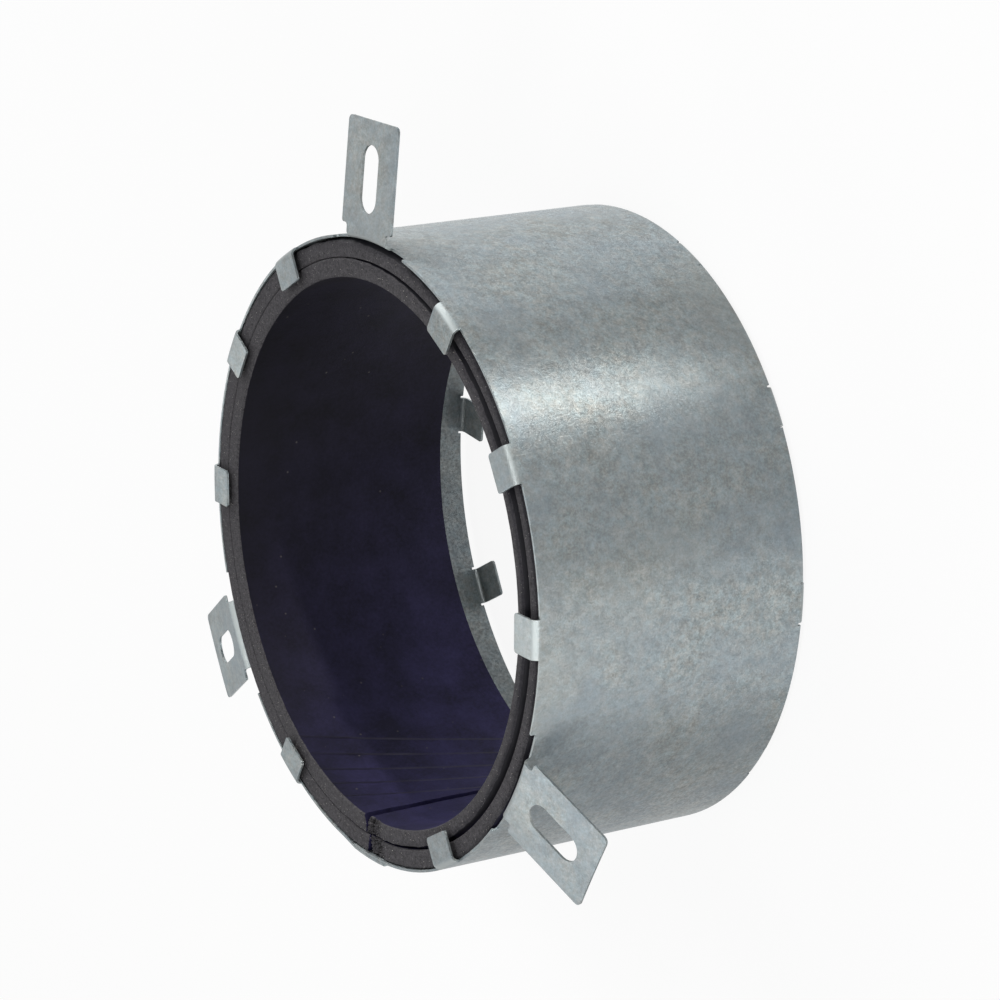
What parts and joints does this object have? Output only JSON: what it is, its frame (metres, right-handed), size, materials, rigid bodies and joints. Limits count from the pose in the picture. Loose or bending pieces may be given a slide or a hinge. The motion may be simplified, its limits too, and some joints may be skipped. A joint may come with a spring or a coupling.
{
  "type": "pipe fire collar",
  "caption": "Round sheet-steel collar lined with two intumescent strips, with inward tabs and slotted fixing lugs, that closes a plastic pipe in a fire",
  "frame": {"origin": "On the pipe axis, in the plane of the wall or ceiling, which the faces of the front tabs touch", "axes": "+Z along the pipe axis, out of the collar towards the wall or ceiling; +Y along the first lug; the collar hangs below Z = 0 and the lap seam is at -Y"},
  "size_m": [0.159, 0.1515, 0.0624],
  "materials": {
    "galvanised_steel": "hot-dip galvanised, fine mottled spangle",
    "intumescent_strip": "matt graphite-filled strip, fine grain"
  },
  "bodies": {
    "root": {"casing": "galvanised_steel", "outer_strip": "intumescent_strip", "inner_strip": "intumescent_strip"}
  },
  "joints": []
}
